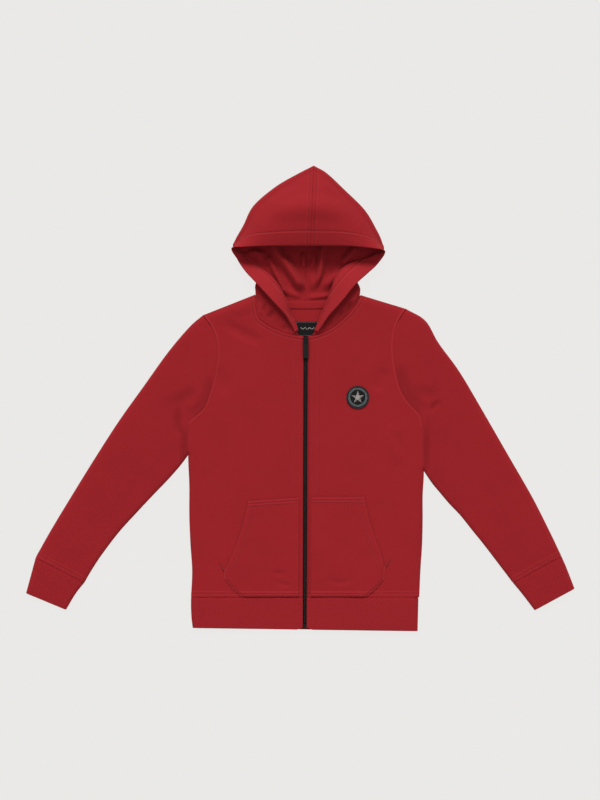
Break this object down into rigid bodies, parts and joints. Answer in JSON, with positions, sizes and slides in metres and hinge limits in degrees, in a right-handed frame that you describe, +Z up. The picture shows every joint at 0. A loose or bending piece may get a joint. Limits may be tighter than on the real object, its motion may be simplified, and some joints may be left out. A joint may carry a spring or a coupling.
{
  "type": "kids hoodie",
  "caption": "Child's hooded sweatshirt with a full-length zip, a split front pocket and ribbed cuffs and hem, lying flat with its hood open.",
  "frame": {"origin": "on the surface that the hoodie lies on, under the middle of its outline", "axes": "+X along its width, to the right of someone who looks down at the front, so towards the wearer's left; +Y from the hem to the hood; +Z up, away from the surface"},
  "size_m": [0.961, 0.8146, 0.0462],
  "materials": {
    "sweatshirt_cloth": "soft brushed knit",
    "rib_knit": "ribbed knit",
    "woven_label": "woven",
    "zip_tape": "woven tape",
    "zip_moulding": "satin moulded"
  },
  "bodies": {
    "garment": {"back": "sweatshirt_cloth", "front_left": "sweatshirt_cloth", "front_right": "sweatshirt_cloth", "sleeve_left": "sweatshirt_cloth", "sleeve_right": "sweatshirt_cloth", "cuff_left": "rib_knit", "cuff_right": "rib_knit", "hem_band": "rib_knit", "hood_left": "sweatshirt_cloth", "hood_right": "sweatshirt_cloth", "pocket_left": "sweatshirt_cloth", "pocket_right": "sweatshirt_cloth", "neck_tape": "sweatshirt_cloth", "neck_label": "woven_label", "badge": "woven_label", "zip_tape_left": "zip_tape", "zip_tape_right": "zip_tape", "zip_chain": "zip_moulding", "zip_box": "zip_moulding", "zip_slider": "zip_moulding"},
    "pull": {"zip_pull": "zip_moulding"}
  },
  "joints": [
    {"name": "pull_hinge", "type": "hinge", "parent": "garment", "child": "pull", "pos_m": [0.0098, 0.1042, 0.0105], "axis": [-1, 0, 0], "range_deg": [0, 150]}
  ]
}
